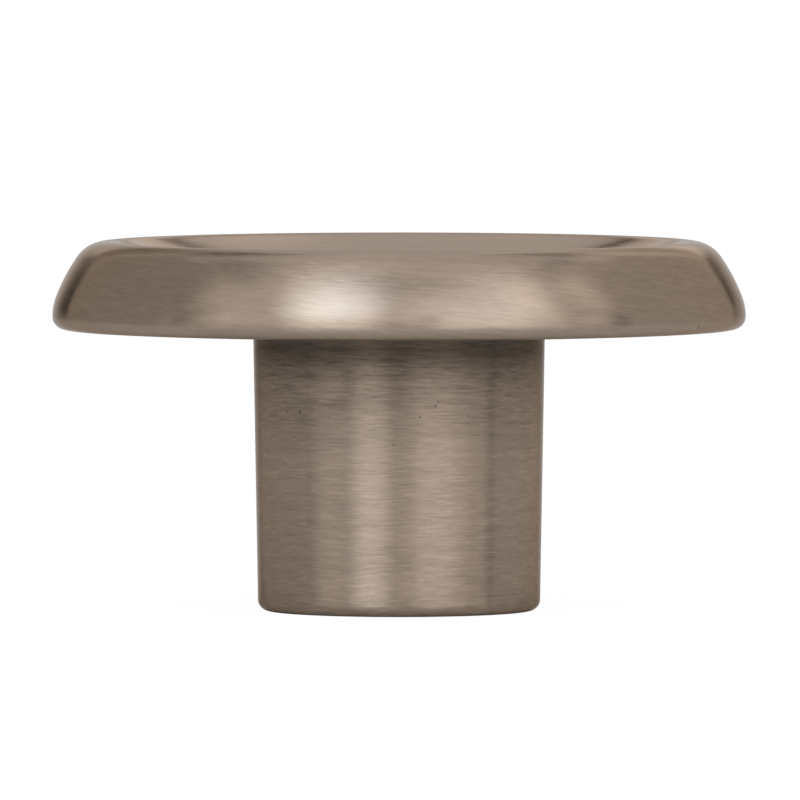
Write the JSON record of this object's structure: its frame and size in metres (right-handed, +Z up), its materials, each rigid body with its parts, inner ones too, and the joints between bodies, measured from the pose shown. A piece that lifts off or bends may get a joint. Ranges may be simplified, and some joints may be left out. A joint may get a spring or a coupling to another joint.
{
  "type": "cabinet knob",
  "caption": "Round cabinet or drawer knob: a shallow dished head with a leaning, crowned edge on a thick, slightly tapered stem, tapped in the foot for a machine screw.",
  "frame": {"origin": "centre of the stem's foot, the flat face that seats on the door or drawer front", "axes": "+Z up the stem's axis from the foot to the dished head; the knob is round, so X and Y are any two directions across it"},
  "size_m": [0.0382, 0.0382, 0.0203],
  "materials": {
    "satin_nickel": "satin nickel plate, brushed round the axis"
  },
  "bodies": {
    "root": {"knob": "satin_nickel"}
  },
  "joints": []
}
